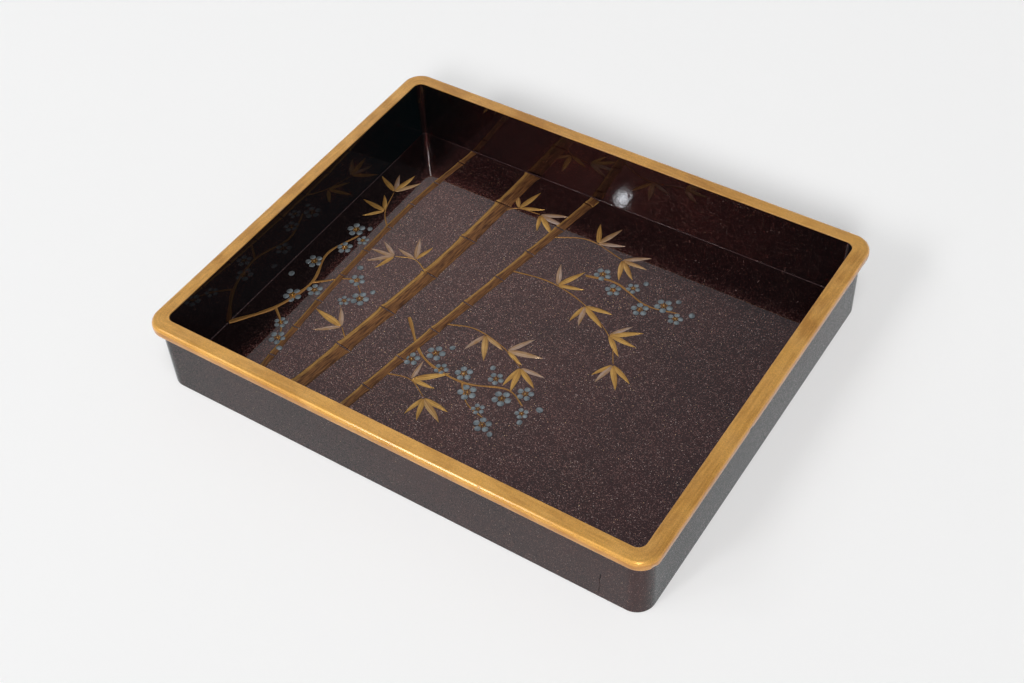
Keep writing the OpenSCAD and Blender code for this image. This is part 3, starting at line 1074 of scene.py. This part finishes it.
def place_camera():
    """The camera, its heading given by azimuth, elevation and roll round the target."""
    toward = Vector((sin(VIEW_AZIMUTH) * cos(VIEW_ELEVATION), -cos(VIEW_AZIMUTH) * cos(VIEW_ELEVATION),
                     sin(VIEW_ELEVATION)))
    right = (-toward).cross(Vector((0, 0, 1))).normalized()
    up = right.cross(-toward)
    rolled_right = right * cos(VIEW_ROLL) + up * sin(VIEW_ROLL)
    rolled_up = up * cos(VIEW_ROLL) - right * sin(VIEW_ROLL)
    lens = bpy.data.cameras.new("camera")
    lens.lens = LENS
    lens.sensor_width = SENSOR_WIDTH
    lens.clip_end = 50
    camera = new_object("camera", lens)
    camera.matrix_world = (Matrix.Translation(VIEW_TARGET + toward * VIEW_DISTANCE)
                           @ Matrix((rolled_right, rolled_up, toward)).transposed().to_4x4())
    bpy.context.scene.camera = camera


def new_lamp(name, kind, toward, strength):
    """A lamp at the origin that shines away from the place that toward gives."""
    light = bpy.data.lights.new(name, kind)
    light.energy = strength
    lamp = new_object(name, light)
    lamp.rotation_euler = (-Vector(toward)).to_track_quat("-Z", "Y").to_euler()
    return lamp


def near_lamp(name, location, size, power):
    """A round lamp that shines on the tray from its place. The lacquer and the gold mirror it."""
    lamp = new_lamp(name, "AREA", location, power)
    lamp.location = location
    lamp.data.shape = "DISK"
    lamp.data.size = size
    return lamp


def far_lamp(name, toward, spread, strength, mirrored=False):
    """A lamp so far off that it lights the whole floor evenly. Spread is its apparent size."""
    lamp = new_lamp(name, "SUN", toward, strength)
    lamp.data.angle = spread
    lamp.visible_glossy = mirrored


def pale_floor():
    """The plain ground that the tray stands on."""
    reach = FLOOR_REACH
    mesh = bpy.data.meshes.new("studio_floor")
    mesh.from_pydata([(-reach, -reach, 0), (reach, -reach, 0), (reach, reach, 0), (-reach, reach, 0)], [],
                     [(0, 1, 2, 3)])
    ground = new_object("studio_floor", mesh)
    material, tree, shader = new_material("pale_floor")
    tone = noise_texture(tree, 3.0, 1.0)
    set_inputs(tree, shader, {
        "Base Color": colour_mix(tree, tone, FLOOR_PALE, FLOOR_PALER),
        "Roughness": 0.9,
        "Specular IOR Level": 0.1})
    mesh.materials.append(material)


def dim_room():
    """The world: the room for what the camera and mirrors see, and an even weak light for the rest."""
    world = bpy.data.worlds.new("studio")
    bpy.context.scene.world = world
    world.use_nodes = True
    tree = world.node_tree
    tree.nodes.clear()
    heading = add_node(tree, "ShaderNodeTexCoord").outputs["Generated"]
    toward = vector_math(tree, "DOT_PRODUCT", {0: heading, 1: BRIGHT_SIDE}, "Value")
    turned = math_node(tree, "ARCCOSINE", math_node(tree, "MINIMUM", toward, 1.0))
    height = add_node(tree, "ShaderNodeSeparateXYZ", {"Vector": heading}).outputs["Z"]
    low = rescale(tree, height, sin(LOW_FROM), sin(LOW_TO), 1.0, 0.0)
    room = colour_mix(tree, rescale(tree, turned, 0.0, BRIGHT_SPREAD, 1.0, 0.0), ROOM_DIM, ROOM_BRIGHT)
    room = colour_mix(tree, low, room, ROOM_LOW)
    rays = add_node(tree, "ShaderNodeLightPath")
    seen = math_node(tree, "ADD", rays.outputs["Is Camera Ray"], rays.outputs["Is Glossy Ray"])
    seen = math_node(tree, "ADD", seen, rays.outputs["Is Transmission Ray"], True)
    plain = add_node(tree, "ShaderNodeBackground", {"Color": (1, 1, 1, 1), "Strength": SKY_LIGHT})
    bright = add_node(tree, "ShaderNodeBackground", {"Color": room, "Strength": 1.0})
    mixed = add_node(tree, "ShaderNodeMixShader", {0: seen, 1: plain.outputs[0], 2: bright.outputs[0]})
    add_node(tree, "ShaderNodeOutputWorld", {0: mixed.outputs[0]})


def lamps():
    """Three soft lamps light the scene. The tray mirrors only the smaller ones."""
    far_lamp("window", (-5.40, -17.30, 11.76), radians(13.2), 0.66)
    far_lamp("fill", (7.00, -16.70, 11.76), radians(13.2), 1.10)
    far_lamp("overhead", (4.40, -6.00, 18.00), radians(23.5), 1.06)
    key = near_lamp("key", (-1.26, -2.29, 2.34), 0.68, 6.3)
    key.data.shape = "ELLIPSE"
    key.data.size_y = 0.13
    key.rotation_euler.rotate_axis("Z", radians(14))
    near_lamp("side_lamp", (-2.05, -1.72, 2.25), 0.50, 4.5)
    glint = near_lamp("glint_lamp", (-1.289, -2.292, 2.128), 0.042, 1.3)
    glint.data.color = (0.90, 0.94, 1.0)
    far_lamp("second_lamp", (7.06, -14.08, 16.12), radians(1.93), 0.68, mirrored=True)


# ------------------------------ assembly

WALL_NODES = ["wall_front", "wall_right", "wall_back", "wall_left",
              "corner_block_front_right", "corner_block_back_right",
              "corner_block_back_left", "corner_block_front_left", "corner_splines"]
FLOOR_NODES = ["floor_board_front", "floor_board_middle", "floor_board_back", "board_dowels", "floor_pegs"]
RIM_NODES = ["rim_front", "rim_right", "rim_back", "rim_left"]

place_camera()
pale_floor()
dim_room()
lamps()
bpy.context.scene.view_settings.view_transform = "Standard"

picture = picture_work()
walls = lacquered_walls()
floor = lacquered_floor(picture_samples(picture))
rim = gold_rim()
walls.data.materials.append(flaked_lacquer(
    "flaked_lacquer_walls", powder_share=0.65, shine=0.55, flake_share=0.020,
    haze=0.27, coat=0.78, coat_roughness=0.03, cracked=True))
floor.data.materials.append(flaked_lacquer(
    "flaked_lacquer_floor", powder_share=0.75, shine=1.0, flake_share=0.045,
    haze=0.17, coat=0.84, coat_roughness=0.02, dusted=True))
rim.data.materials.append(gold_lacquer())

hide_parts(*WALL_NODES)
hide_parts(*FLOOR_NODES)
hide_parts(*RIM_NODES)
for piece in [walls, floor, rim] + picture:
    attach(piece, "root")
